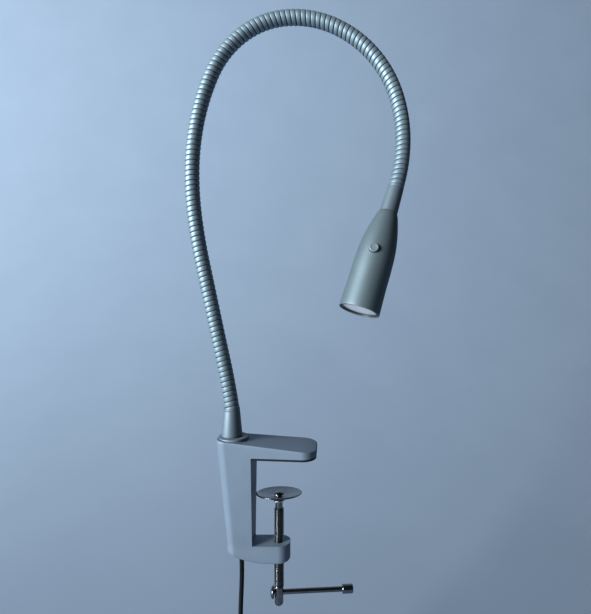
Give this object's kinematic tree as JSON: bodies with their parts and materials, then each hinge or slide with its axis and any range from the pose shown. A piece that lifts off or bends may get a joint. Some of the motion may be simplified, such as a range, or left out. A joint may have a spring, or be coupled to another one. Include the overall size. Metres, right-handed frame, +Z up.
{
  "type": "examination lamp",
  "caption": "Gooseneck examination spotlight on a C-clamp, with a bullet-shaped head, a push button, a clamp screw with a tommy bar, and a thin cord in a hank.",
  "frame": {"origin": "on the clamp screw's axis, at the face of the rubber pad under the upper jaw, where the lamp hangs on a worktop", "axes": "+Z up along the clamp screw, +X along the jaws away from the column, -Y towards the front"},
  "size_m": [0.1819, 0.0834, 0.658],
  "materials": {
    "casting_satin": "satin silver paint on a die casting",
    "ferrule_satin": "satin silver",
    "head_satin": "satin silver paint",
    "neck_satin": "satin silver wound tube",
    "button_satin": "satin silver",
    "chrome": "bright nickel-chrome plating",
    "nickel": "nickel plating",
    "spring_steel": "bright wire",
    "bare_aluminium": "machined",
    "brass": "turned",
    "black_rubber": "matte",
    "cord_black": "smooth vinyl sheath",
    "plug_black": "moulded vinyl",
    "black_plastic": "moulded",
    "circuit_board": "solder mask",
    "white_board": "white solder mask",
    "led_yellow": "phosphor",
    "reflector_mirror": "metallised",
    "lens_frosted": "frosted",
    "wire_red": "insulation"
  },
  "bodies": {
    "clamp": {"clamp_casting": "casting_satin", "jaw_pad": "black_rubber", "lower_ferrule": "ferrule_satin", "neck_stud": "brass", "strain_relief": "black_rubber", "column_lead": "cord_black", "neck_section_01": "neck_satin", "neck_lead": "cord_black", "cord": "cord_black", "cord_hank": "cord_black", "cord_tie": "black_plastic", "cord_tail": "cord_black", "plug_body": "plug_black", "plug_barrel": "nickel"},
    "neck_link_02": {"neck_section_02": "neck_satin"},
    "neck_link_03": {"neck_section_03": "neck_satin"},
    "neck_link_04": {"neck_section_04": "neck_satin"},
    "neck_link_05": {"neck_section_05": "neck_satin"},
    "neck_link_06": {"neck_section_06": "neck_satin"},
    "neck_link_07": {"neck_section_07": "neck_satin"},
    "neck_link_08": {"neck_section_08": "neck_satin"},
    "neck_link_09": {"neck_section_09": "neck_satin"},
    "neck_link_10": {"neck_section_10": "neck_satin"},
    "neck_link_11": {"neck_section_11": "neck_satin"},
    "neck_link_12": {"neck_section_12": "neck_satin"},
    "neck_link_13": {"neck_section_13": "neck_satin"},
    "head": {"neck_section_14": "neck_satin", "upper_ferrule": "ferrule_satin", "head_stud": "brass", "head_nut": "brass", "head_shell": "head_satin", "driver_board": "circuit_board", "driver_inductor": "black_plastic", "driver_capacitor": "black_plastic", "switch_body": "black_plastic", "switch_spring": "spring_steel", "heat_sink": "bare_aluminium", "led_board": "white_board", "led_emitter": "led_yellow", "reflector": "reflector_mirror", "lens_seal": "black_rubber", "lens": "lens_frosted", "lens_ring": "bare_aluminium", "led_wire_red": "wire_red", "led_wire_black": "cord_black"},
    "push_button": {"push_button": "button_satin"},
    "screw_foot": {"thrust_washer": "chrome"},
    "clamp_screw": {"clamp_screw": "chrome", "swivel_cap": "chrome"},
    "pressure_disc": {"pressure_disc": "chrome"},
    "tommy_bar": {"tommy_bar": "chrome", "tommy_bar_head": "chrome", "tommy_bar_cap": "chrome"}
  },
  "joints": [
    {"name": "neck_bend_01", "type": "hinge", "parent": "clamp", "child": "neck_link_02", "pos_m": [-0.04578, 0, 0.07714], "axis": [0, 1, 0], "range_deg": [-18, 18]},
    {"name": "neck_bend_02", "type": "hinge", "parent": "neck_link_02", "child": "neck_link_03", "pos_m": [-0.05413, 0, 0.11606], "axis": [-0.9785, 0, -0.2062], "range_deg": [-18, 18]},
    {"name": "neck_bend_03", "type": "hinge", "parent": "neck_link_03", "child": "neck_link_04", "pos_m": [-0.06237, 0, 0.15499], "axis": [0, 1, 0], "range_deg": [-18, 18]},
    {"name": "neck_bend_04", "type": "hinge", "parent": "neck_link_04", "child": "neck_link_05", "pos_m": [-0.06907, 0, 0.19421], "axis": [-0.9917, 0, -0.1288], "range_deg": [-18, 18]},
    {"name": "neck_bend_05", "type": "hinge", "parent": "neck_link_05", "child": "neck_link_06", "pos_m": [-0.07133, 0, 0.23391], "axis": [0, -1, 0], "range_deg": [-18, 18]},
    {"name": "neck_bend_06", "type": "hinge", "parent": "neck_link_06", "child": "neck_link_07", "pos_m": [-0.067, -0.00017, 0.27342], "axis": [-0.9796, 0, 0.2011], "range_deg": [-18, 18]},
    {"name": "neck_bend_07", "type": "hinge", "parent": "neck_link_07", "child": "neck_link_08", "pos_m": [-0.05492, -0.00069, 0.31126], "axis": [-0.007, -0.9998, -0.016], "range_deg": [-18, 18], "deforming": ["neck_lead"]},
    {"name": "neck_bend_08", "type": "hinge", "parent": "neck_link_08", "child": "neck_link_09", "pos_m": [-0.03057, -0.00156, 0.3422], "axis": [0.6074, 0, -0.7944], "range_deg": [-18, 18]},
    {"name": "neck_bend_09", "type": "hinge", "parent": "neck_link_09", "child": "neck_link_10", "pos_m": [0.00615, -0.00278, 0.35593], "axis": [-0.0348, -0.9994, -0.0022], "range_deg": [-18, 18]},
    {"name": "neck_bend_10", "type": "hinge", "parent": "neck_link_10", "child": "neck_link_11", "pos_m": [0.04479, -0.00451, 0.34853], "axis": [-0.4274, 0, -0.9041], "range_deg": [-18, 18]},
    {"name": "neck_bend_11", "type": "hinge", "parent": "neck_link_11", "child": "neck_link_12", "pos_m": [0.07582, -0.00729, 0.32429], "axis": [0.0552, 0.9962, -0.0674], "range_deg": [-18, 18]},
    {"name": "neck_bend_12", "type": "hinge", "parent": "neck_link_12", "child": "neck_link_13", "pos_m": [0.09396, -0.01179, 0.28947], "axis": [-0.9627, 0, -0.2706], "range_deg": [-18, 18]},
    {"name": "neck_bend_13", "type": "hinge", "parent": "neck_link_13", "child": "head", "pos_m": [0.0986, -0.01836, 0.25065], "axis": [-0.007, 0.9816, -0.1907], "range_deg": [-18, 18]},
    {"name": "button_press", "type": "slide", "parent": "head", "child": "push_button", "axis": [0.1651, 0.9454, -0.2809], "range_m": [0, 0.0012], "stiffness_N_per_m": 400, "springref_m": -0.001, "deforming": ["switch_spring"]},
    {"name": "foot_travel", "type": "slide", "parent": "clamp", "child": "screw_foot", "axis": [0, 0, 1], "range_m": [-0.03156, 0.02156]},
    {"name": "screw_turn", "type": "hinge", "parent": "screw_foot", "child": "clamp_screw", "pos_m": [0, 0, -0.113], "axis": [0, 0, 1], "range_deg": [-9090, 6210], "deforming": ["cord"]},
    {"name": "disc_tilt", "type": "hinge", "parent": "screw_foot", "child": "pressure_disc", "pos_m": [0, 0, -0.03676], "axis": [1, 0, 0], "range_deg": [0, 16]},
    {"name": "bar_slide", "type": "slide", "parent": "clamp_screw", "child": "tommy_bar", "axis": [0.9962, 0.0872, -0.0087], "range_m": [-0.0479, 0]}
  ],
  "couplings": [
    {"joint": "foot_travel", "follows": "screw_turn", "m_per_rad": 0.00019894}
  ]
}
